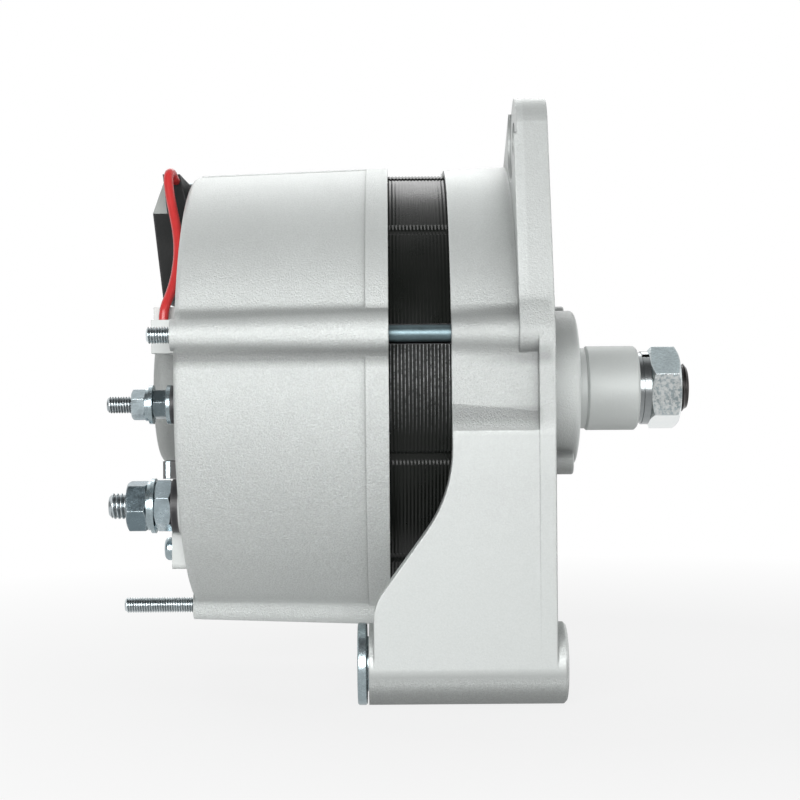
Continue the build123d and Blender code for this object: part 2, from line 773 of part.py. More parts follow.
def field_winding():
    """The bobbin between the pole wheels and the coil wound on it."""
    x0 = rotor_rear_x + pole_disc
    x1 = rotor_front_x - pole_disc
    bobbin = tube(x0, x1, coil_r, core_r)
    window = tube(x0 + bobbin_wall, x1 - bobbin_wall, coil_r, core_r + bobbin_wall)
    coil_outer_r = coil_r - bobbin_clearance
    coil = tube(x0 + bobbin_wall, x1 - bobbin_wall, coil_outer_r, core_r + bobbin_wall)
    return bobbin - window, coil


def slip_ring(middle_x):
    return tube(middle_x - ring_width / 2, middle_x + ring_width / 2, ring_r, ring_r - ring_wall)


def slip_ring_sleeve():
    rear_x = ring_rear_x - ring_sleeve_margin
    sleeve = tube(rear_x, ring_sleeve_front_x, ring_r - ring_wall, shaft_tail_r)
    gap_x = ring_rear_x + ring_width
    return sleeve + tube(gap_x, gap_x + ring_gap, ring_r, ring_r - ring_wall)


# Brushes and regulator


def brush(middle_x):
    """A carbon brush whose face is hollowed to the slip ring."""
    middle_z = ring_r + brush_gap + brush_height / 2
    half = brush_width / 2
    body = block(middle_x - half, middle_x + half, 0, middle_z, brush_length, brush_height)
    return body - disc(middle_x - ring_width, middle_x + ring_width, ring_r + brush_gap)


def brush_spring(middle_x):
    height = spring_length - 2 * spring_wire_r
    coil = Helix(pitch=height / spring_turns, height=height, radius=spring_coil_r)
    wire = sweep(Plane(origin=coil @ 0, z_dir=coil % 0) * Circle(spring_wire_r), path=coil)
    return Pos(middle_x, 0, brush_top_z + spring_wire_r) * wire


def brush_holder():
    x0 = ring_middles[0] - holder_half_step
    x1 = ring_middles[1] + holder_half_step
    bottom_z = ring_r + holder_ring_gap
    height = holder_top_z - bottom_z
    body = block(x0, x1, 0, bottom_z + height / 2, 2 * holder_half_width, height)
    body += block(rear_face_x, x0, 0, holder_top_z - holder_neck / 2, 2 * holder_half_width, holder_neck)
    channel = holder_channel_z - bottom_z
    side = 2 * brush_guide_clearance
    for x in ring_middles:
        half = brush_width / 2 + brush_guide_clearance
        body -= block(x - half, x + half, 0, bottom_z + channel / 2, brush_length + side, channel)
    return body


def regulator():
    """The electronic regulator's case: a facet near the ear, a corner cut off for the top bolt."""
    profile = Polyline(
        (rear_face_x, regulator_bottom_z),
        (rear_face_x - regulator_bottom_depth, regulator_bottom_z),
        (rear_face_x - regulator_peak_depth, regulator_peak_z),
        (rear_face_x - regulator_top_depth, regulator_top_z),
        (rear_face_x - regulator_top_inset, regulator_top_z),
        (rear_face_x, regulator_seat_z),
        close=True,
    )
    body = extrude(Plane.XZ * make_face(profile), amount=regulator_half_width, both=True)
    outer_x = rear_face_x - regulator_peak_depth
    facet = Polyline(
        (outer_x, regulator_peak_z),
        (outer_x + regulator_facet_width, regulator_peak_z),
        (rear_face_x - regulator_top_depth, regulator_top_z),
        (outer_x, regulator_top_z),
        close=True,
    )
    lean = Polyline(
        (-regulator_half_width, regulator_peak_z),
        (-regulator_half_width, regulator_top_z),
        (-regulator_half_width + regulator_facet_lean, regulator_top_z),
        close=True,
    )
    cut = extrude(Plane.XZ * make_face(facet), amount=regulator_half_width)
    cut &= slab(make_face(lean), outer_x, rear_face_x)
    body -= cut
    corner = Polyline(
        (regulator_corner_y, regulator_top_z),
        (regulator_half_width, regulator_corner_z),
        (regulator_half_width, regulator_top_z),
        close=True,
    )
    body -= slab(make_face(corner), outer_x, rear_face_x)
    for y, z in regulator_screw_places:
        head_x = rear_face_x - regulator_foot
        body -= disc(outer_x, head_x, regulator_head_r + counterbore_clearance, y, z)
        body -= disc(head_x, rear_face_x, regulator_screw_r + hole_clearance, y, z)
    return body


def regulator_screws():
    seat_x = rear_face_x - regulator_foot
    sizes = (regulator_screw_r, regulator_head_r, regulator_head_height)
    return group([pan_screw(seat_x, rear_wall_x, *sizes, y, z) for y, z in regulator_screw_places])


# Rectifier


def heat_sink(x0):
    """A horseshoe plate with a pressed-in seat for each diode."""
    plate = Circle(plate_out) - Circle(plate_in)
    for end, side in ((plate_start, -1), (plate_start + plate_sweep, 1)):
        plate -= Rot(0, 0, end) * Pos(0, side * plate_out) * Rectangle(4 * plate_out, 2 * plate_out)
    for n in range(phases):
        plate -= Pos(*on_circle(diode_circle_r, diode_first + diode_step * n)) * Circle(diode_r)
    return slab(plate, x0, x0 + plate_thickness)


def negative_heat_sink():
    plate = heat_sink(negative_plate_x)
    for y, z in standoff_places:
        plate -= disc(negative_plate_x, positive_plate_x, plate_screw_r + hole_clearance, y, z)
    return plate - disc(negative_plate_x, positive_plate_x, b_neck_r + hole_clearance, b_y, b_z)


def positive_heat_sink():
    return heat_sink(positive_plate_x) - disc(rear_face_x, rotor_rear_x, b_pitch_r, b_y, b_z)


def diodes(x0):
    made = []
    for n in range(phases):
        y, z = on_circle(diode_circle_r, diode_first + diode_step * n)
        top_x = x0 + plate_thickness + diode_rise
        pressed = disc(x0, top_x, diode_r, y, z)
        made.append(pressed + disc(top_x, top_x + diode_pin_length, diode_pin_r, y, z))
    return group(made)


def exciter_diodes():
    x0 = positive_plate_x + plate_thickness
    made = []
    for n in range(phases):
        y, z = on_circle(exciter_circle_r, exciter_first + diode_step * n)
        made.append(disc(x0, x0 + exciter_diode_height, exciter_diode_r, y, z))
    return group(made)


def heat_sink_screws():
    seat_x = negative_plate_x + plate_thickness
    tip_x = rear_face_x + rear_wall / 2
    sizes = (plate_screw_r, plate_head_r, plate_head_height)
    return group([pan_screw(seat_x, tip_x, *sizes, y, z) for y, z in standoff_places])


# Terminals, each stacked outwards from the rear face


def stacked_washers(x, outer_r, bore_r, y, z):
    """A plain washer and the spring lock washer on it, outwards from x."""
    plain = tube(x - washer_thickness, x, outer_r, bore_r + hole_clearance, y, z)
    x1 = x - washer_thickness
    x0 = x1 - lock_washer_thickness
    lock = tube(x0, x1, outer_r - lock_washer_inset, bore_r + hole_clearance, y, z)
    lock -= block(x0, x1, y + outer_r, z, 2 * outer_r, lock_washer_thickness)
    return plain, lock


def battery_terminal():
    face_x = rear_face_x - b_seat_washer_thickness
    seat = tube(face_x, rear_face_x, b_seat_washer_r, b_neck_r + hole_clearance, b_y, b_z)
    nut_seat_x = face_x - b_insulator_thickness
    sizes = (b_insulator_r, b_neck_r, b_pitch_r)
    insulator = collared(nut_seat_x, face_x, positive_plate_x, *sizes, b_y, b_z)
    inner_x = nut_seat_x - b_inner_nut
    inner = hex_nut(inner_x, nut_seat_x, b_flats, b_pitch_r, b_y, b_z, b_inner_turn)
    plain, lock = stacked_washers(inner_x, b_washer_r, b_stud_r, b_y, b_z)
    lock_x = inner_x - washer_thickness - lock_washer_thickness
    outer_x = lock_x - b_outer_nut
    outer = hex_nut(outer_x, lock_x, b_flats, b_pitch_r, b_y, b_z, b_outer_turn)
    head_x = positive_plate_x + plate_thickness
    sizes = (b_stud_r, b_pitch_r, b_head_r, b_head_height)
    post = stud(rear_face_x - b_tip, outer_x, head_x, *sizes, b_y, b_z)
    return post, group([inner, outer]), group([plain, lock]), insulator, seat


def exciter_terminal():
    nut_seat_x = rear_face_x - d_insulator_thickness - washer_thickness
    neck_x = rear_wall_x + d_neck_rise
    sizes = (d_insulator_r, d_neck_r, d_pitch_r)
    flange_seat_x = rear_face_x - d_insulator_thickness
    insulator = collared(flange_seat_x, rear_face_x, neck_x, *sizes, d_y, d_z)
    seat = tube(nut_seat_x, flange_seat_x, d_washer_r, d_stud_r + hole_clearance, d_y, d_z)
    inner_x = nut_seat_x - d_nut
    inner = hex_nut(inner_x, nut_seat_x, d_flats, d_pitch_r, d_y, d_z, d_inner_turn)
    plain, lock = stacked_washers(inner_x, d_washer_r, d_stud_r, d_y, d_z)
    lock_x = inner_x - washer_thickness - lock_washer_thickness
    outer_x = lock_x - d_nut
    outer = hex_nut(outer_x, lock_x, d_flats, d_pitch_r, d_y, d_z, d_outer_turn)
    sizes = (d_stud_r, d_pitch_r, d_head_r, d_head_height)
    post = stud(rear_face_x - d_tip, outer_x, neck_x, *sizes, d_y, d_z)
    return post, group([inner, outer]), group([seat, plain, lock]), insulator


def phase_terminal():
    """A moulded block with a flat blade let into its near side."""
    outer_x = rear_face_x - w_depth
    blade_x = outer_x + w_blade_setback
    blade_y = w_y - w_width / 2 + w_blade_width / 2
    blade = block(blade_x, blade_x + w_blade_thickness, blade_y, w_z, w_blade_width, w_height)
    return block(outer_x, rear_face_x, w_y, w_z, w_width, w_height) - blade, blade


def terminal_cover():
    outer_x = rear_face_x - cover_depth
    body = block(outer_x, rear_face_x, cover_y, cover_z, cover_width, cover_height)
    body = fillet(body.edges().filter_by(Axis.X), cover_rounding)
    return body - disc(outer_x, rear_face_x, cover_screw_r + hole_clearance, cover_y, cover_z)


def terminal_cover_screw():
    sizes = (cover_screw_r, cover_head_r, cover_head_height)
    return pan_screw(rear_face_x - cover_depth, rear_wall_x, *sizes, cover_y, cover_z)


def lead_plug():
    """A white housing with a low step where the lead goes in."""
    outer_x = rear_face_x - plug_depth
    body = block(outer_x, rear_face_x, plug_y, plug_z, plug_width, plug_height)
    half = plug_width / 2
    step_z = plug_z + (plug_height - plug_step) / 2
    body -= block(outer_x, rear_face_x, plug_y - half / 2, step_z, half, plug_step)
    hole = Cylinder(plug_hole_r, plug_height, align=(Align.CENTER, Align.CENTER, Align.MIN))
    return body - Pos(*lead_route[-1]) * hole


def red_lead():
    """Straight runs joined by arcs as large as the runs allow."""
    points = [Vector(*point) for point in lead_route]
    radii = []
    for before, here, after in zip(points, points[1:], points[2:]):
        turn = (here - before).get_angle(after - here)
        run = min((here - before).length, (after - here).length)
        radii.append(lead_arc_share * run / tan(radians(turn) / 2))
    path = FilletPolyline(*points, radius=radii)
    return sweep(Plane(origin=path @ 0, z_dir=path % 0) * Circle(lead_r), path=path)


# Bolts and bush


def through_bolt(tip, y, z):
    """A socket-head bolt from the front flange to a threaded tip behind the rear housing."""
    seat_x = flange_x - bolt_head_recess
    head = disc(seat_x, seat_x + bolt_head_height, bolt_head_r)
    head = chamfer(head.edges().group_by(Axis.X)[-1], edge_rounding / 2)
    key = RegularPolygon(bolt_key_flats / 2 / cos(radians(30)), 6)
    head_top_x = seat_x + bolt_head_height
    head -= slab(key, head_top_x - bolt_key_depth, head_top_x)
    shank = bare_tip(rear_face_x - tip, rib_end_x, bolt_r) + disc(bolt_thread_end_x, seat_x, bolt_r)
    shank += disc(rib_end_x - bare_thread_gap, bolt_thread_end_x, bolt_pitch_r)
    return Pos(0, y, z) * (head + shank)


def through_bolts():
    return group([through_bolt(bolt_tip, y, z) for y, z in bolt_places[:-1]])


def foot_bush():
    """A flanged steel bush that slides in the foot and takes up the bracket's gap."""
    flange_back_x = foot_rear_x - bush_gap
    flange_shape = disc(flange_back_x - bush_flange, flange_back_x, foot_r)
    flange_shape = chamfer(flange_shape.edges(), edge_rounding / 2)
    sleeve = disc(flange_back_x, flange_back_x + bush_length, bush_r)
    bush = flange_shape + sleeve - disc(flange_back_x - bush_flange, flange_back_x + bush_length, foot_hole_r)
    return Pos(0, foot_y, foot_z) * bush


front_set = bearing(front_bearing_back_x, front_bearing_x, shaft_r, front_bearing_r)
rear_set = bearing(rear_bearing_x, rear_bearing_front_x, shaft_tail_r, rear_bearing_r)
front_poles, rear_poles = rotor_poles()
bobbin, coil = field_winding()
b_stud, b_nuts, b_washers, b_insulator, b_seat_washer = battery_terminal()
d_stud, d_nuts, d_washers, d_insulator = exciter_terminal()
w_insulator, w_blade = phase_terminal()

parts = {
    "front_housing": front_housing(),
    "rear_housing": rear_housing(),
    "stator_core": stator_core(),
    "stator_windings": stator_windings(),
    "through_bolts": through_bolts(),
    "long_through_bolt": through_bolt(long_bolt_tip, *bolt_places[-1]),
    "front_bearing_outer_ring": front_set[0],
    "front_bearing_inner_ring": front_set[1],
    "front_bearing_balls": front_set[2],
    "front_bearing_shields": front_set[3],
    "rear_bearing_outer_ring": rear_set[0],
    "rear_bearing_inner_ring": rear_set[1],
    "rear_bearing_balls": rear_set[2],
    "rear_bearing_shields": rear_set[3],
    "bearing_retainer": bearing_retainer(),
    "retainer_screws": retainer_screws(),
    "shaft": shaft(),
    "collar": tube(front_bearing_x, 0, collar_r, shaft_r),
    "spacer_sleeve": spacer_sleeve(),
    "plain_washer": tube(spacer_length, spring_washer_x, plain_washer_r, thread_r + hole_clearance),
    "spring_washer": spring_washer(),
    "pulley_nut": hex_nut(nut_x, nut_end_x, pulley_nut_flats, thread_pitch_r, turn=pulley_nut_turn),
    "front_pole_wheel": front_poles,
    "rear_pole_wheel": rear_poles,
    "rotor_core": tube(rotor_rear_x + pole_disc, rotor_front_x - pole_disc, core_r, shaft_body_r),
    "coil_bobbin": bobbin,
    "field_coil": coil,
    "slip_ring_rear": slip_ring(ring_middles[0]),
    "slip_ring_front": slip_ring(ring_middles[1]),
    "slip_ring_sleeve": slip_ring_sleeve(),
    "brush_rear": brush(ring_middles[0]),
    "brush_front": brush(ring_middles[1]),
    "brush_spring_rear": brush_spring(ring_middles[0]),
    "brush_spring_front": brush_spring(ring_middles[1]),
    "brush_holder": brush_holder(),
    "regulator": regulator(),
    "regulator_screws": regulator_screws(),
    "negative_heat_sink": negative_heat_sink(),
    "positive_heat_sink": positive_heat_sink(),
    "negative_diodes": diodes(negative_plate_x),
    "positive_diodes": diodes(positive_plate_x),
    "exciter_diodes": exciter_diodes(),
    "heat_sink_screws": heat_sink_screws(),
    "b_stud": b_stud,
    "b_nuts": b_nuts,
    "b_washers": b_washers,
    "b_insulator": b_insulator,
    "b_seat_washer": b_seat_washer,
    "d_stud": d_stud,
    "d_nuts": d_nuts,
    "d_washers": d_washers,
    "d_insulator": d_insulator,
    "w_terminal_insulator": w_insulator,
    "w_terminal_blade": w_blade,
    "terminal_cover": terminal_cover(),
    "terminal_cover_screw": terminal_cover_screw(),
    "lead_plug": lead_plug(),
    "red_lead": red_lead(),
    "foot_bush": foot_bush(),
}

os.makedirs("parts", exist_ok=True)
for name, shape in parts.items():
    export_step(shape, f"parts/{name}.step")
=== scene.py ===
import json
from math import cos, floor, pi, radians, sin

import bmesh
import bpy
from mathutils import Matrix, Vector


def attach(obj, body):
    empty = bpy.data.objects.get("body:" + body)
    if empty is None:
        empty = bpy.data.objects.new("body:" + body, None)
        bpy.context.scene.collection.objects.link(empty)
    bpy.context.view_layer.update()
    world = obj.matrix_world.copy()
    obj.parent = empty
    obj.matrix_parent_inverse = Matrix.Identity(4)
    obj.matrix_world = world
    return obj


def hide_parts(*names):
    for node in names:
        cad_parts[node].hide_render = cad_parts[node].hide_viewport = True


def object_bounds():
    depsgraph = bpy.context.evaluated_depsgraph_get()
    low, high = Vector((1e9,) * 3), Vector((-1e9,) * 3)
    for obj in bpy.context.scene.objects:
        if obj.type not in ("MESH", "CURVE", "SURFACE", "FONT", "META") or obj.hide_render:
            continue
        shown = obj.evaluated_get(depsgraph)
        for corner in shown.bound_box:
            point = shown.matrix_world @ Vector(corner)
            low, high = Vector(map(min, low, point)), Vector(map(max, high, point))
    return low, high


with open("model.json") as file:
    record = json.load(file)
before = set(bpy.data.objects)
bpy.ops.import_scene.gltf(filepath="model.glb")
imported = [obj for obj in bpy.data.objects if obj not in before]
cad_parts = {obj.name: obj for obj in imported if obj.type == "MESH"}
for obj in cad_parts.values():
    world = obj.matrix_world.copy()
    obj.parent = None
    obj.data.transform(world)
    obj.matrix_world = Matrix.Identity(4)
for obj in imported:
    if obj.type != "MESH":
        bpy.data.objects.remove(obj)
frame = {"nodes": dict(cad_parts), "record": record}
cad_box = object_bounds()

MM = 0.001

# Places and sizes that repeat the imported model's, in millimetres and degrees

rear_face_x = -127.8
flange_x = -16.6
stack_front_x = -46.5
stack_rear_x = -64.8
stack_r = 70.3
skirt_r = 76.0
bolt_turn = 167.0
long_bolt_place = (-15.994, -69.278)
short_bolt_places = [(-69.278, 15.994), (15.994, 69.278), (69.278, -15.994)]
b_place = (-44.033, -35.403)
d_place = (-59.996, -4.301)
shaft_steps = [(-137.3, 7.5), (-103.1, 10.0), (-19.9, 8.5)]
shaft_thread_x = 16.4
shaft_tip_x = 34.1

# Threads: radius, pitch and depth in millimetres

m5_thread = (2.5, 0.8, 0.42)
m8_thread = (4.0, 1.25, 0.65)
m16_fine_thread = (8.0, 1.5, 0.75)

# The stack's ridged skin, in millimetres and radians

ridges = 17
ridge_mean = 0.14
ridge_swing = 0.12
notch_step = radians(30)
notch_phase = radians(bolt_turn) / notch_step % 1.0
notch_half = 2.0
notch_depth = 0.75
skin_over_notch_floor = 0.04
skin_sunk_in_stack = 0.2
bolt_groove_half = 3.1
steps_per_ridge = 6
steps_per_sector = 96

# The red lead's centre line, in millimetres

lead_r = 1.5
lead_route = [
    (-132.8, -22.0, 67.4),
    (-132.8, -24.5, 67.4),
    (-133.2, -27.2, 69.2),
    (-133.8, -29.9, 68.8),
    (-133.9, -31.4, 65.9),
    (-133.1, -32.5, 61.0),
    (-131.9, -34.0, 55.7),
    (-130.7, -35.8, 50.4),
    (-129.9, -38.2, 45.2),
    (-129.8, -40.6, 39.8),
    (-130.4, -43.0, 34.3),
    (-131.7, -45.4, 29.2),
    (-132.9, -47.3, 26.0),
    (-133.4, -48.0, 22.4),
    (-133.4, -48.0, 19.0),
]


# Camera

camera_data = bpy.data.cameras.new("camera")
camera_data.sensor_width = 36.0
camera_data.lens = 74.25
camera_data.shift_x = 0.01
camera_data.clip_start = 0.01
camera = bpy.data.objects.new("camera", camera_data)
camera.location = (-0.0639, -0.5511, -0.00344)
camera.rotation_euler = (radians(90), radians(0.44), 0)
bpy.context.collection.objects.link(camera)
bpy.context.scene.camera = camera
bpy.context.scene.view_settings.view_transform = "Standard"


# Writing a material

class Nodes:
    """A short way to write a node tree."""

    def __init__(self, tree):
        self.tree = tree

    def add(self, kind, values=None, **settings):
        node = self.tree.nodes.new(kind)
        for key, value in settings.items():
            setattr(node, key, value)
        for key, value in (values or {}).items():
            if isinstance(value, bpy.types.NodeSocket):
                self.tree.links.new(value, node.inputs[key])
            else:
                node.inputs[key].default_value = value
        return node

    def math(self, operation, *values):
        return self.add("ShaderNodeMath", dict(enumerate(values)), operation=operation).outputs[0]

    def times(self, product, *factors):
        for factor in factors:
            product = self.math("MULTIPLY", product, factor)
        return product

    def ramp(self, factor, low, high, out_low=0.0, out_high=1.0):
        values = {"Value": factor, "From Min": low, "From Max": high, "To Min": out_low, "To Max": out_high}
        return self.add("ShaderNodeMapRange", values).outputs["Result"]

    def noise(self, place, scale, detail=2.0, rough=0.5):
        values = {"Vector": place, "Scale": scale, "Detail": detail, "Roughness": rough}
        return self.add("ShaderNodeTexNoise", values).outputs["Fac"]

    def mix(self, factor, first, second):
        # Inputs 6 and 7 and output 2 are the node's colours
        return self.add("ShaderNodeMix", {0: factor, 6: first, 7: second}, data_type="RGBA").outputs[2]


def shade(colour, factor):
    return tuple(min(1.0, channel * factor) for channel in colour) + (1.0,)


def begin(name):
    made = bpy.data.materials.new(name)
    made.use_nodes = True
    made.node_tree.nodes.clear()
    kit = Nodes(made.node_tree)
    place = kit.add("ShaderNodeTexCoord").outputs["Object"]
    return made, kit, place


def close(kit, colour, roughness, normal, metallic, specular=0.5):
    values = {
        "Base Color": colour,
        "Roughness": roughness,
        "Normal": normal,
        "Metallic": metallic,
        "Specular IOR Level": specular,
    }
    shader = kit.add("ShaderNodeBsdfPrincipled", values)
    kit.add("ShaderNodeOutputMaterial", {"Surface": shader.outputs[0]})


def split(kit, vector):
    made = kit.add("ShaderNodeSeparateXYZ", {0: vector})
    return [made.outputs[n] for n in range(3)]


def facing_of(kit):
    """The way the surface faces along X, Y and Z, in the object's own frame."""
    return split(kit, kit.add("ShaderNodeTexCoord").outputs["Normal"])


def distance(kit, across, up):
    """How far a point is from the origin, in the plane of those two directions."""
    return kit.math("SQRT", kit.math("ADD", kit.times(across, across), kit.times(up, up)))


def band(kit, value, start, full, fade, end):
    """1 between full and fade, 0 outside start and end."""
    return kit.times(kit.ramp(value, start, full), kit.ramp(value, end, fade))


def toned(kit, skin, where, most, tone):
    """The surface, mixed with a tone by the share most where the mask is 1."""
    return kit.mix(kit.times(where, most), skin, tone)


def mottled(kit, place, colour, tint, spread, grain):
    """The surface's colour, clouded and speckled, with both noises."""
    cloud = kit.noise(place, spread, detail=4.0, rough=0.6)
    speck = kit.noise(place, grain, rough=0.7)
    clouded = kit.mix(kit.ramp(cloud, 0.3, 0.7), shade(colour, 1 - tint), shade(colour, 1 + tint))
    speckled = kit.mix(kit.ramp(speck, 0.35, 0.65, 0.0, 0.5), clouded, shade(colour, 1 - 1.5 * tint))
    return speckled, cloud, speck


def uneven(kit, cloud, least, most):
    """A roughness that follows the clouds."""
    return kit.ramp(cloud, 0.3, 0.7, least, most)


def edge_wear(kit, cloud, reach):
    """How far a convex edge is rubbed, from 0 to 1."""
    soft = kit.add("ShaderNodeBevel", {"Radius": reach}, samples=4).outputs[0]
    true = kit.add("ShaderNodeNewGeometry").outputs["True Normal"]
    bend = kit.add("ShaderNodeVectorMath", {0: soft, 1: true}, operation="DOT_PRODUCT").outputs["Value"]
    return kit.times(kit.ramp(bend, 0.98, 0.86), kit.ramp(cloud, 0.4, 0.6, 0.3, 1.0))


def grained(kit, height, depth, edge=0.0):
    """A normal with that height as bump, over edges that are softened by that radius."""
    values = {"Height": height, "Strength": 1.0, "Distance": depth}
    if edge:
        values["Normal"] = kit.add("ShaderNodeBevel", {"Radius": edge}, samples=6).outputs[0]
    return kit.add("ShaderNodeBump", values).outputs[0]


def hollow_shade(kit, skin, reach, shade_tone, most):
    """The surface, with painted shade in hollows narrower than that reach."""
    open_share = kit.add("ShaderNodeAmbientOcclusion", {"Distance": reach}, samples=6).outputs["AO"]
    return kit.mix(kit.ramp(open_share, 0.95, 0.45, 0.0, most), skin, shade_tone)


# Cast aluminium
# Each pair says where a change of tone begins and ends, in metres; most of these tones are painted light and
# painted shade.
# Four numbers say where a band starts, is full, begins to fade and ends.

texture_z = (0.035, -0.030)
skirt_outer_r = (0.0792, 0.0800)
skirt_front_x = (-0.0165, -0.0185)
# Arcs and shares of the painted shade above and below each bolt rib
above_rib_shade_arc = (-0.0094, -0.0074, -0.0066, -0.0015)
above_rib_shade_share = 0.34
under_rib_shade_share = 0.52

front_skirt_r = (0.0725, 0.0735)
front_under_rib_shade_arc = (0.0042, 0.0078, 0.0090, 0.0112)
web_face_y = (-0.0752, -0.0758)
web_top_z = (-0.010, -0.014)
web_fade_z = (-0.030, -0.085)
slope_z = (-0.0050, -0.0062, -0.0088, -0.0126)
slope_y = (-0.0715, -0.0725)
slope_x = (-0.0200, -0.0212)
middle_z = (0.032, 0.020, -0.0090, -0.0145)
middle_y = (-0.062, -0.070)
ear_z = (0.020, 0.032)
ear_x = (-0.0242, -0.0236)
smooth_top_z = (0.018, 0.030)
boss_x = (-0.0162, -0.0158)
boss_r = (0.050, 0.046)
boss_ends_z = (0.009, 0.024)

rear_skirt_r = (0.0660, 0.0670)
rear_under_rib_shade_arc = (0.0030, 0.0062, 0.0082, 0.0110)
hub_r = (0.030, 0.026)
hub_x = (-0.127, -0.129)
lower_rib_light_z = (-0.0662, -0.0685)


def rib_arc(kit, y, z):
    """The way round the axis from the nearest through bolt, in metres on the skirt."""
    turn = kit.math("DIVIDE", kit.math("ARCTAN2", z, y), pi / 2)
    share = kit.math("FRACT", kit.math("ADD", turn, 0.5 - bolt_turn / 90))
    return kit.times(kit.math("SUBTRACT", share, 0.5), pi / 2 * skirt_r * MM)


def rib_crease_shade(kit, x, y, z, radius, inner_r, under_shade_arc):
    """Where the painted shade beside the bolt ribs lies on a skirt, from 0 to 1."""
    arc = rib_arc(kit, y, z)
    under = kit.times(band(kit, arc, *under_shade_arc), under_rib_shade_share)
    above = kit.times(band(kit, arc, *above_rib_shade_arc), above_rib_shade_share)
    on_skirt = kit.times(band(kit, radius, *inner_r, *skirt_outer_r), kit.ramp(x, *skirt_front_x))
    return kit.times(kit.math("MAXIMUM", under, above), on_skirt)


def front_painted_light_and_grain(kit, skin, colour, x, y, z, radius):
    """Painted shade on the front casting's web, slope, middle and ear, painted light and shade on its boss,
    and how deep its grain is.
    """
    # Painted shade on the web, lighter towards the bottom
    web = kit.times(kit.ramp(y, *web_face_y), kit.ramp(z, *web_top_z))
    web_shade = kit.mix(kit.ramp(z, *web_fade_z), shade(colour, 0.54), shade(colour, 0.68))
    skin = toned(kit, skin, web, most=0.85, tone=web_shade)
    # A painted shadow on the slope above the web
    slope = kit.times(band(kit, z, *slope_z), kit.ramp(y, *slope_y), kit.ramp(x, *slope_x))
    skin = toned(kit, skin, slope, most=0.36, tone=shade(colour, 0.08))
    # Painted shade over the middle of the skirt, on its -Y side
    middle = kit.times(band(kit, z, *middle_z), kit.ramp(y, *middle_y))
    skin = toned(kit, skin, middle, most=0.52, tone=shade(colour, 0.50))
    # Painted shade on the ear
    ear = kit.times(kit.ramp(z, *ear_z), kit.ramp(x, *ear_x))
    skin = toned(kit, skin, ear, most=0.18, tone=shade(colour, 0.50))
    # Painted light on the boss, with painted shade where its round side turns up and down
    boss = kit.times(kit.ramp(x, *boss_x), kit.ramp(radius, *boss_r))
    round_side = kit.ramp(kit.math("ABSOLUTE", facing_of(kit)[0]), 0.85, 0.55)
    boss_ends = kit.times(kit.ramp(kit.math("ABSOLUTE", z), *boss_ends_z), round_side)
    skin = kit.mix(boss, skin, kit.mix(boss_ends, shade(colour, 1.12), shade(colour, 0.58)))
    grain = kit.times(kit.ramp(web, 0.0, 1.0, 0.00028, 0.00003), kit.ramp(z, *smooth_top_z, 1.0, 0.25))
    return skin, grain


def rear_painted_light_and_grain(kit, skin, colour, x, y, z, radius):
    """Painted shade on the rear casting's hub, painted light on its lower rib, and how deep its grain is."""
    # Painted shade on the hub
    hub = kit.times(kit.ramp(radius, *hub_r), kit.ramp(x, *hub_x))
    skin = kit.mix(hub, skin, shade(colour, 0.62))
    # Painted light along the lower rib
    skin = kit.mix(kit.ramp(z, *lower_rib_light_z), skin, shade(colour, 1.22))
    return skin, kit.ramp(z, *texture_z, 0.00022, 0.00060)


def casting(name, colour, tones, inner_r, under_shade_arc):
    """Shot-blasted aluminium: a fine sparkling grain, with paler rubbed edges, and painted light and shade
    beside the ribs, in hollows and over chosen regions.
    """
    made, kit, place = begin(name)
    x, y, z = split(kit, place)
    radius = distance(kit, y, z)
    skin, cloud, _ = mottled(kit, place, colour, tint=0.04, spread=35.0, grain=2600.0)
    sparkle = kit.noise(place, 2100.0, detail=1.0)
    grit = kit.mix(kit.ramp(sparkle, 0.33, 0.67), shade(colour, 0.80), shade(colour, 1.20))
    skin = kit.mix(kit.ramp(z, *texture_z, 0.20, 0.48), skin, grit)
    skin = toned(kit, skin, edge_wear(kit, cloud, reach=0.0016), most=0.5, tone=shade(colour, 1.18))
    # Painted shade beside the bolt ribs, above and below each
    crease_shade = rib_crease_shade(kit, x, y, z, radius, inner_r, under_shade_arc)
    skin = kit.mix(crease_shade, skin, shade(colour, 0.08))
    # Painted light and shade by region, from the front or rear casting's own masks, and the grain's depth
    skin, grain = tones(kit, skin, colour, x, y, z, radius)
    # Painted shade in the casting's hollows
    skin = hollow_shade(kit, skin, reach=0.012, shade_tone=shade(colour, 0.25), most=0.62)
    fine = kit.noise(place, 1700.0, detail=3.0, rough=0.75)
    normal = grained(kit, fine, depth=grain, edge=0.0007)
    close(kit, skin, uneven(kit, fine, 0.38, 0.56), normal, metallic=0.55)
    return made


# Other surfaces
# Lengths are in metres, and the heights of the stack's ridges in millimetres.

# How far the painted shade in a thread's roots reaches, in metres
thread_root_shade_reach = 0.0009
tone_blur = 0.0002
crest_heights = (0.18, 0.25)
bare_and_highlight_top_z = (0.019, 0.013)
bare_and_highlight_low_z = (-0.014, 0.002)
bare_and_highlight_y = (-0.050, -0.062)
wire_width = 0.0013


def finish(name, colour, rough, metallic, tint=0.08, spread=60.0, grain=900.0, bump=0.00004, edge=0.0003,
           wear=None, thread=False):
    """A surface with mottled colour, uneven gloss, fine grain and softened edges, and on a thread, painted
    shade in its roots.
    """
    made, kit, place = begin(name)
    skin, cloud, speck = mottled(kit, place, colour, tint, spread, grain)
    if wear:
        skin = kit.mix(edge_wear(kit, cloud, reach=4 * edge), skin, shade(wear, 1))
    if thread:
        # Painted shade in the thread's roots
        skin = hollow_shade(kit, skin, thread_root_shade_reach, shade(colour, 0.10), most=0.75)
    roughness = uneven(kit, cloud, rough * 0.88, rough * 1.12)
    close(kit, skin, roughness, grained(kit, speck, bump, edge), metallic)
    return made


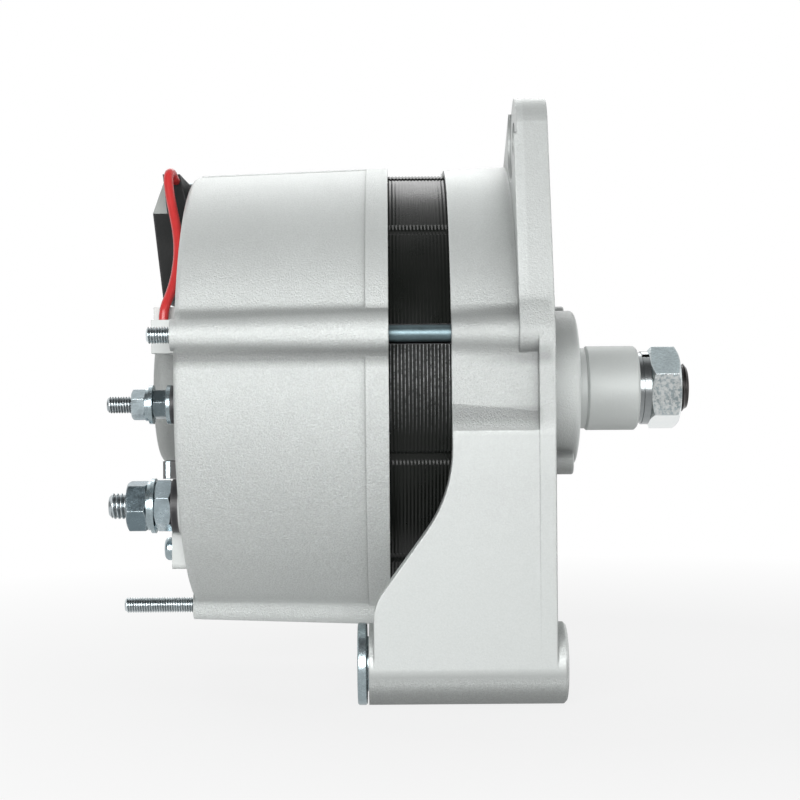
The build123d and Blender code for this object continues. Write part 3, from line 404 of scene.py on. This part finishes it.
def stack_coat():
    """Black paint over the laminations, with bare metal on the ridges halfway up one side, which is partly
    worn paint and partly a painted highlight.
    """
    made, kit, place = begin("black_lamination_skin")
    _, y, z = split(kit, place)
    crest = kit.ramp(distance(kit, y, z), *((stack_r + height) * MM for height in crest_heights))
    patchy = kit.ramp(kit.noise(place, 900.0, detail=3.0, rough=0.7), 0.34, 0.58, 0.15, 1.0)
    # Partly worn paint, partly a painted highlight: bare metal on the ridges only halfway up the -Y side
    halfway_up = kit.times(kit.ramp(z, *bare_and_highlight_top_z), kit.ramp(z, *bare_and_highlight_low_z))
    worn_and_highlit = kit.times(halfway_up, kit.ramp(y, *bare_and_highlight_y))
    bare = kit.times(crest, patchy, worn_and_highlit, 0.38)
    cloud = kit.noise(place, 60.0, detail=3.0, rough=0.6)
    black = kit.mix(kit.ramp(cloud, 0.3, 0.7), (0.004, 0.005, 0.004, 1.0), (0.007, 0.008, 0.007, 1.0))
    skin = kit.mix(bare, black, (0.55, 0.57, 0.58, 1.0))
    speck = kit.noise(place, 1200.0, rough=0.6)
    normal = grained(kit, speck, depth=0.00003)
    close(kit, skin, uneven(kit, cloud, 0.24, 0.34), normal, metallic=kit.times(bare, 0.6), specular=0.24)
    return made


def two_tone(name, outer, inner, x_split, wear=0.6, edge=0.00025, thread=False, dull=0.0):
    """Zinc plate of two tones along one piece, from two batches or with a bare thread, and on a thread,
    painted shade in its roots.
    """
    made, kit, place = begin(name)
    x = split(kit, place)[0]
    outer_skin, cloud, speck = mottled(kit, place, outer, tint=0.14, spread=300.0, grain=1300.0)
    inner_skin = mottled(kit, place, inner, tint=0.14, spread=300.0, grain=1300.0)[0]
    skin = kit.mix(kit.ramp(x, x_split - tone_blur, x_split + tone_blur), outer_skin, inner_skin)
    skin = toned(kit, skin, edge_wear(kit, cloud, reach=0.0009), most=wear, tone=(0.75, 0.80, 0.82, 1.0))
    if thread:
        # Painted shade in the thread's roots
        skin = hollow_shade(kit, skin, thread_root_shade_reach, shade(outer, 0.10), most=0.62)
    duller = kit.ramp(x, x_split, x_split + 2 * tone_blur, 0.0, dull)
    roughness = kit.math("ADD", uneven(kit, cloud, 0.20, 0.30), duller)
    close(kit, skin, roughness, grained(kit, speck, depth=0.00004, edge=edge), metallic=1.0)
    return made


def plated_nut():
    """Zinc plate with worn specks on all but its upper facets, and painted light that makes those that face
    down paler.
    """
    made, kit, place = begin("zinc_plate_nut")
    skin, cloud, speck = mottled(kit, place, (0.48, 0.56, 0.58), tint=0.16, spread=200.0, grain=1100.0)
    facing_z = facing_of(kit)[2]
    # Painted light: the facets that face down are paler
    skin = kit.mix(kit.ramp(facing_z, -0.25, -0.45), skin, (0.86, 0.90, 0.90, 1.0))
    specks = kit.ramp(kit.noise(place, 900.0, detail=3.0, rough=0.7), 0.42, 0.56, 0.0, 0.8)
    skin = kit.mix(kit.times(specks, kit.ramp(facing_z, 0.30, 0.10)), skin, (0.92, 0.94, 0.93, 1.0))
    skin = kit.mix(edge_wear(kit, cloud, reach=0.0012), skin, (0.80, 0.84, 0.85, 1.0))
    normal = grained(kit, speck, depth=0.00006, edge=0.0003)
    close(kit, skin, uneven(kit, cloud, 0.18, 0.26), normal, metallic=1.0)
    return made


def winding():
    """Enamelled wires laid side by side round the axis."""
    made, kit, place = begin("enamelled_copper_wires")
    skin, cloud, _ = mottled(kit, place, (0.42, 0.14, 0.05), tint=0.2, spread=90.0, grain=900.0)
    x, y, z = split(kit, place)
    sway = kit.times(kit.noise(place, 80.0), 0.0035)
    across = kit.math("ADD", kit.math("ADD", distance(kit, y, z), x), sway)
    strand = kit.math("ABSOLUTE", kit.math("SINE", kit.times(across, pi / wire_width)))
    skin = kit.mix(kit.ramp(strand, 0.0, 0.45), (0.05, 0.015, 0.006, 1.0), skin)
    close(kit, skin, uneven(kit, cloud, 0.26, 0.36), grained(kit, strand, depth=0.0005), metallic=0.6)
    return made


def regulator_case():
    """Black moulding whose small sloped facet is a bare grey plate."""
    made, kit, place = begin("regulator_black")
    skin, cloud, speck = mottled(kit, place, (0.007, 0.008, 0.008), tint=0.2, spread=60.0, grain=1300.0)
    skin = kit.mix(edge_wear(kit, cloud, reach=0.0010), skin, (0.10, 0.10, 0.105, 1.0))
    _, facing_y, facing_z = facing_of(kit)
    plate = kit.times(kit.ramp(facing_y, -0.55, -0.70), kit.ramp(facing_z, 0.20, 0.30))
    skin = kit.mix(plate, skin, (0.34, 0.36, 0.35, 1.0))
    normal = grained(kit, speck, depth=0.00007, edge=0.0004)
    close(kit, skin, uneven(kit, cloud, 0.45, 0.6), normal, metallic=0.0, specular=0.15)
    return made


# Materials

cast = casting("cast_aluminium", (0.585, 0.61, 0.60), front_painted_light_and_grain, front_skirt_r, front_under_rib_shade_arc)
cast_rear = casting("cast_aluminium_rear", (0.575, 0.60, 0.59), rear_painted_light_and_grain, rear_skirt_r, rear_under_rib_shade_arc)
zinc = finish("zinc_plate", (0.42, 0.50, 0.53), rough=0.26, metallic=1.0,
              tint=0.14, spread=300.0, grain=1300.0, edge=0.00025)
thread_zinc = finish("zinc_plate_thread", (0.58, 0.63, 0.65), rough=0.30, metallic=1.0,
                     tint=0.12, spread=300.0, grain=1300.0, edge=0.0, thread=True)
bolt_zinc = two_tone("zinc_plate_bolt", (0.66, 0.72, 0.74), (0.16, 0.22, 0.24), x_split=-0.1275,
                     wear=0.1, edge=0.0, thread=True, dull=0.20)
b_nut_zinc = two_tone("zinc_plate_b_nuts", (0.20, 0.26, 0.29), (0.46, 0.55, 0.59), x_split=-0.1377)
d_nut_zinc = two_tone("zinc_plate_d_nuts", (0.46, 0.54, 0.57), (0.20, 0.25, 0.27), x_split=-0.1364)
nut_zinc = plated_nut()
dark = finish("dark_steel", (0.07, 0.065, 0.065), rough=0.30, metallic=0.85,
              tint=0.15, grain=700.0, bump=0.00003, edge=0.0002)
chrome = finish("spring_steel", (0.32, 0.34, 0.345), rough=0.22, metallic=1.0,
                grain=700.0, bump=0.00001, edge=0.0002)
satin = finish("satin_steel", (0.54, 0.565, 0.555), rough=0.58, metallic=0.30,
               tint=0.03, grain=1500.0, bump=0.00005)
ground = finish("ground_steel", (0.62, 0.63, 0.66), rough=0.18, metallic=1.0,
                tint=0.04, grain=600.0, bump=0.00001, edge=0.0002)
copper = winding()
bare_copper = finish("bare_copper", (0.75, 0.38, 0.22), rough=0.25, metallic=0.95,
                     grain=700.0, bump=0.00002)
black_plastic = finish("black_plastic", (0.018, 0.018, 0.02), rough=0.42, metallic=0.0,
                       tint=0.2, grain=1200.0, bump=0.00006, wear=(0.10, 0.10, 0.105))
regulator_black = regulator_case()
white_plastic = finish("white_plastic", (0.53, 0.55, 0.54), rough=0.45, metallic=0.0,
                       tint=0.03, bump=0.00003)
natural_plastic = finish("natural_plastic", (0.62, 0.56, 0.40), rough=0.5, metallic=0.0,
                         tint=0.06, bump=0.00003)
carbon = finish("carbon", (0.03, 0.03, 0.03), rough=0.6, metallic=0.1,
                tint=0.2, bump=0.00006)
red_cable = finish("red_cable", (0.50, 0.034, 0.034), rough=0.24, metallic=0.0,
                   spread=150.0, grain=500.0, bump=0.00001, edge=0.0)
lamination = finish("black_lamination", (0.010, 0.010, 0.011), rough=0.35, metallic=0.1,
                    tint=0.3, bump=0.00005)
stack_paint = stack_coat()

SLOT_LOOK = {
    "cast_aluminium": cast,
    "zinc_steel": zinc,
    "dark_steel": dark,
    "satin_steel": satin,
    "bearing_steel": ground,
    "black_lamination": lamination,
    "enamelled_copper": copper,
    "bare_copper": bare_copper,
    "black_plastic": black_plastic,
    "white_plastic": white_plastic,
    "natural_plastic": natural_plastic,
    "carbon": carbon,
    "red_cable": red_cable,
}
NODE_LOOK = {
    "rear_housing": cast_rear,
    "regulator": regulator_black,
    "pulley_nut": nut_zinc,
    "b_nuts": b_nut_zinc,
    "d_nuts": d_nut_zinc,
    "spring_washer": chrome,
    "plain_washer": chrome,
}

slot_of = {row["node"]: row["material_slot"] for row in frame["record"]["subparts"]}
for node, thing in frame["nodes"].items():
    look = NODE_LOOK.get(node, SLOT_LOOK[slot_of[node]])
    thing.data.materials.clear()
    thing.data.materials.append(look)


# Making a piece

def piece(name, data, look, body, replaced=()):
    made = bpy.data.objects.new(name, data)
    bpy.context.collection.objects.link(made)
    made.data.materials.append(look)
    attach(made, body)
    if replaced:
        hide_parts(*replaced)
    return made


def mesh_from(name, build):
    net = bmesh.new()
    build(net)
    bmesh.ops.recalc_face_normals(net, faces=net.faces)
    data = bpy.data.meshes.new(name)
    net.to_mesh(data)
    net.free()
    for face in data.polygons:
        face.use_smooth = True
    return data


def smooth_by_angle(made, degrees=35):
    """Keeps edges sharper than that angle crisp."""
    net = bmesh.new()
    net.from_mesh(made.data)
    for edge in net.edges:
        if len(edge.link_faces) == 2 and edge.calc_face_angle(0.0) > radians(degrees):
            edge.smooth = False
    net.to_mesh(made.data)
    net.free()


def crisp_piece(name, build, look, body, replaced=()):
    """A piece that is smooth where it is round, and crisp at its sharp edges."""
    smooth_by_angle(piece(name, mesh_from(name, build), look, body, replaced))


# Turned shapes

def hexagon(flats, angle):
    """The radius of a hexagon's side at that angle."""
    off = (angle % (pi / 3)) - pi / 6
    return flats / 2 / cos(off)


def thread_cut(x, angle, pitch):
    """How deep the thread is there, from 0 at the crest to 1 at the root."""
    flank_slope = 3.2
    root_rise = 1.25
    turn = x / pitch - angle / (2 * pi)
    from_root = abs(turn - floor(turn) - 0.5)
    return min(1.0, max(0.0, root_rise - flank_slope * from_root))


def plain(radius):
    return lambda x, angle: radius


def threaded(radius, depth, pitch):
    return lambda x, angle: radius - depth * thread_cut(x, angle, pitch)


def thread_rows(x0, x1, thread, steps_per_turn=8):
    """Rows from x0 to x1 along a thread, with a chamfered start at x0."""
    radius, pitch, depth = thread
    start_drop = 1.6 * depth
    start_length = 1.2 * depth * (1 if x1 > x0 else -1)
    count = int(abs(x1 - x0) / pitch * steps_per_turn)
    rows = [(x0, None), (x0, plain(radius - start_drop))]
    for n in range(count + 1):
        x = x0 + start_length + (x1 - x0 - start_length) * n / count
        rows.append((x, threaded(radius, depth, pitch)))
    return rows


def lathe(net, rows, place, around=36):
    """A closed skin over rings round an axis along X, from rows of (x, radius at an angle).

    A row whose radius is None is a single point on the axis.
    """
    y0, z0 = place
    rings = []
    for x, radius in rows:
        if radius is None:
            rings.append([net.verts.new((x * MM, y0 * MM, z0 * MM))])
            continue
        ring = []
        for n in range(around):
            angle = 2 * pi * n / around
            r = radius(x, angle)
            ring.append(net.verts.new((x * MM, (y0 + r * cos(angle)) * MM, (z0 + r * sin(angle)) * MM)))
        rings.append(ring)
    for low, high in zip(rings, rings[1:]):
        for n in range(around):
            m = (n + 1) % around
            if len(low) == 1:
                net.faces.new((low[0], high[n], high[m]))
            elif len(high) == 1:
                net.faces.new((low[n], low[m], high[0]))
            else:
                net.faces.new((low[n], low[m], high[m], high[n]))


# Red lead

curve = bpy.data.curves.new("red_lead_cord", "CURVE")
curve.dimensions = "3D"
spline = curve.splines.new("NURBS")
spline.points.add(len(lead_route) - 1)
for point, (x, y, z) in zip(spline.points, lead_route):
    point.co = (x * MM, y * MM, z * MM, 1.0)
spline.order_u = 3
spline.use_endpoint_u = True
spline.resolution_u = 12
curve.bevel_depth = lead_r * MM
curve.bevel_resolution = 6
curve.use_fill_caps = True
lead = piece("red_lead_cord", curve, red_cable, "housing", ["red_lead"])


# Terminal studs

def stud_piece(name, node, place, tip_x, thread, head_x, head_r, head_height):
    """A threaded stud with a plain round head inside the housing."""
    def build(net):
        head_end_x = head_x + head_height
        rows = thread_rows(tip_x, head_x, thread)
        rows += [(head_x, plain(head_r)), (head_end_x, plain(head_r)), (head_end_x, None)]
        lathe(net, rows, place)
    crisp_piece(name, build, thread_zinc, "housing", [node])


stud_piece("b_stud_threaded", "b_stud", b_place, tip_x=rear_face_x - 23.0, thread=m8_thread,
           head_x=-103.8, head_r=6.5, head_height=3.5)
stud_piece("d_stud_threaded", "d_stud", d_place, tip_x=rear_face_x - 20.7, thread=m5_thread,
           head_x=-122.0, head_r=4.5, head_height=2.5)


# Through bolts

bolt_thread_end_x = rear_face_x + 4.0
short_bolt_tip_x = rear_face_x - 7.6
long_bolt_tip_x = rear_face_x - 23.0


def bolt_rows(tip_x):
    """A socket-head bolt from its threaded tip to the floor of its hexagon socket."""
    shank_r = m5_thread[0]
    thread_run_out = 0.4
    seat_depth = 3.8
    head_r = 4.2
    head_height = 3.4
    head_chamfer = 0.4
    socket_flats = 4.0
    socket_depth = 1.9
    seat_x = flange_x - seat_depth
    head_top_x = seat_x + head_height
    socket_floor_x = head_top_x - socket_depth
    rows = thread_rows(tip_x, bolt_thread_end_x, m5_thread)
    rows += [
        (bolt_thread_end_x + thread_run_out, plain(shank_r)),
        (seat_x, plain(shank_r)),
        (seat_x, plain(head_r)),
        (head_top_x - head_chamfer, plain(head_r)),
        (head_top_x, plain(head_r - head_chamfer)),
        (head_top_x, lambda x, angle: hexagon(socket_flats, angle)),
        (socket_floor_x, lambda x, angle: hexagon(socket_flats, angle)),
        (socket_floor_x, None),
    ]
    return rows


def short_bolts(net):
    for place in short_bolt_places:
        lathe(net, bolt_rows(short_bolt_tip_x), place)


def long_bolt(net):
    lathe(net, bolt_rows(long_bolt_tip_x), long_bolt_place)


crisp_piece("through_bolts_threaded", short_bolts, bolt_zinc, "housing", ["through_bolts"])
crisp_piece("long_bolt_threaded", long_bolt, bolt_zinc, "housing", ["long_through_bolt"])


# Shaft

def shaft_rows():
    """The shaft from its tail to its threaded tip, which is drilled for a centre."""
    (tail_x, tail_r), (body_x, body_r), (neck_x, neck_r) = shaft_steps
    thread_r = m16_fine_thread[0]
    tail_chamfer = 0.6
    tip_chamfer = 1.2
    centre_r = 3.0
    centre_depth = 2.6
    rows = [(tail_x, None), (tail_x, plain(tail_r - tail_chamfer)), (tail_x + tail_chamfer, plain(tail_r))]
    rows += [(body_x, plain(tail_r)), (body_x, plain(body_r))]
    rows += [(neck_x, plain(body_r)), (neck_x, plain(neck_r))]
    rows += [(shaft_thread_x, plain(neck_r)), (shaft_thread_x, plain(thread_r))]
    # The thread's rows run from the tip, so they are reversed here, without the two that close its start
    rows += thread_rows(shaft_tip_x, shaft_thread_x, m16_fine_thread)[:1:-1]
    rows += [(shaft_tip_x, plain(thread_r - tip_chamfer)), (shaft_tip_x, plain(centre_r))]
    rows += [(shaft_tip_x - centre_depth, None)]
    return rows


def shaft(net):
    lathe(net, shaft_rows(), (0, 0))


crisp_piece("shaft_threaded", shaft, dark, "rotor", ["shaft"])


# Ridged skin of the stack

def skin_sector(net, turn0, turn1):
    """One closed strip of the skin between two bolts: ridged outside, smooth where it lies in the stack."""
    width = stack_front_x - stack_rear_x
    steps_x, steps_turn = ridges * steps_per_ridge, steps_per_sector
    floor_r = stack_r - notch_depth
    outside, inside = [], []
    for i in range(steps_x + 1):
        x = stack_rear_x + width * i / steps_x
        ridge = ridge_mean + ridge_swing * cos(2 * pi * ((x - stack_rear_x) / (width / ridges) - 0.5))
        row, back = [], []
        for j in range(steps_turn + 1):
            turn = turn0 + (turn1 - turn0) * j / steps_turn
            share = (turn / notch_step - notch_phase + 0.5) % 1.0 - 0.5
            in_notch = abs(share) * notch_step * stack_r < notch_half
            outer_r = floor_r + skin_over_notch_floor if in_notch else stack_r + ridge
            inner_r = floor_r - skin_sunk_in_stack
            row.append(net.verts.new((x * MM, outer_r * cos(turn) * MM, outer_r * sin(turn) * MM)))
            back.append(net.verts.new((x * MM, inner_r * cos(turn) * MM, inner_r * sin(turn) * MM)))
        outside.append(row)
        inside.append(back)
    for i in range(steps_x):
        for j in range(steps_turn):
            net.faces.new((outside[i][j], outside[i][j + 1], outside[i + 1][j + 1], outside[i + 1][j]))
            net.faces.new((inside[i][j], inside[i + 1][j], inside[i + 1][j + 1], inside[i][j + 1]))
    for i, order in ((0, 1), (steps_x, -1)):
        for j in range(steps_turn):
            corners = (outside[i][j], inside[i][j], inside[i][j + 1], outside[i][j + 1])
            net.faces.new(corners[::order])
    for j, order in ((0, -1), (steps_turn, 1)):
        for i in range(steps_x):
            corners = (outside[i][j], inside[i][j], inside[i + 1][j], outside[i + 1][j])
            net.faces.new(corners[::order])


def stack_skin(net):
    half_groove = bolt_groove_half / stack_r
    for n in range(4):
        turn = radians(bolt_turn) + n * pi / 2
        skin_sector(net, turn + half_groove, turn + pi / 2 - half_groove)


crisp_piece("stack_skin", stack_skin, stack_paint, "housing")


# Floor, light and surroundings

floor_reach = 3.0
floor_grey = (0.50, 0.50, 0.50, 1.0)
white = (1.0, 1.0, 1.0, 1.0)
shadow_share = 0.18
shadow_fade = (0.12, 0.40)
glossy_floor_y = (-0.30, 0.05)
behind_y = (-0.15, 0.35)
front_light = 0.15
back_light = 0.55


def floor_look():
    """A floor that lights the object as grey, and that the camera sees white, with a faint shadow near it."""
    made, kit, place = begin("floor")
    x, y, _ = split(kit, place)
    path = kit.add("ShaderNodeLightPath")
    grey = kit.add("ShaderNodeBsdfDiffuse", {"Color": floor_grey}).outputs[0]
    glow = kit.add("ShaderNodeEmission", {"Color": white, "Strength": 1.0}).outputs[0]
    shadow = kit.times(kit.ramp(distance(kit, x, y), *shadow_fade, 1.0, 0.0), shadow_share)
    seen = kit.add("ShaderNodeMixShader", {0: shadow, 1: glow, 2: grey}).outputs[0]
    glossy = kit.times(path.outputs["Is Glossy Ray"], kit.ramp(y, *glossy_floor_y))
    shown = kit.math("MAXIMUM", path.outputs["Is Camera Ray"], glossy)
    both = kit.add("ShaderNodeMixShader", {0: shown, 1: grey, 2: seen}).outputs[0]
    kit.add("ShaderNodeOutputMaterial", {"Surface": both})
    return made


def floor_plane():
    low = cad_box[0][2]
    ends = [(-1, -1), (1, -1), (1, 1), (-1, 1)]
    corners = [(x * floor_reach, y * floor_reach, low) for x, y in ends]
    data = bpy.data.meshes.new("floor")
    data.from_pydata(corners, [], [(0, 1, 2, 3)])
    ground_plane = bpy.data.objects.new("floor", data)
    bpy.context.collection.objects.link(ground_plane)
    data.materials.append(floor_look())


def surroundings():
    """A soft sky that is brighter behind the object, and white to the camera."""
    world = bpy.data.worlds.new("studio")
    world.use_nodes = True
    world.node_tree.nodes.clear()
    kit = Nodes(world.node_tree)
    path = kit.add("ShaderNodeLightPath")
    way_y = split(kit, kit.add("ShaderNodeTexCoord").outputs["Generated"])[1]
    behind = kit.ramp(way_y, *behind_y)
    strength = kit.math("ADD", kit.times(behind, back_light), front_light)
    soft = kit.add("ShaderNodeBackground", {"Color": white, "Strength": strength}).outputs[0]
    bright = kit.add("ShaderNodeBackground", {"Color": white, "Strength": 1.0}).outputs[0]
    glossy = kit.times(path.outputs["Is Glossy Ray"], behind)
    shown = kit.math("MAXIMUM", path.outputs["Is Camera Ray"], glossy)
    both = kit.add("ShaderNodeMixShader", {0: shown, 1: soft, 2: bright}).outputs[0]
    kit.add("ShaderNodeOutputWorld", {"Surface": both})
    bpy.context.scene.world = world


def lamp(name, place, size, watts, target=(-0.06, 0.0, 0.0)):
    data = bpy.data.lights.new(name, "AREA")
    data.shape = "RECTANGLE"
    data.size, data.size_y = size
    data.energy = watts
    made = bpy.data.objects.new(name, data)
    made.location = place
    made.rotation_euler = (Vector(target) - Vector(place)).to_track_quat("-Z", "Y").to_euler()
    bpy.context.collection.objects.link(made)


floor_plane()
surroundings()
lamp("key", (-0.35, -1.35, 0.26), (1.5, 0.62), watts=24.0)
lamp("side", (1.30, -0.60, 0.30), (0.5, 0.9), watts=5.0)
lamp("back", (-0.10, 1.00, 0.90), (1.2, 0.6), watts=5.0)
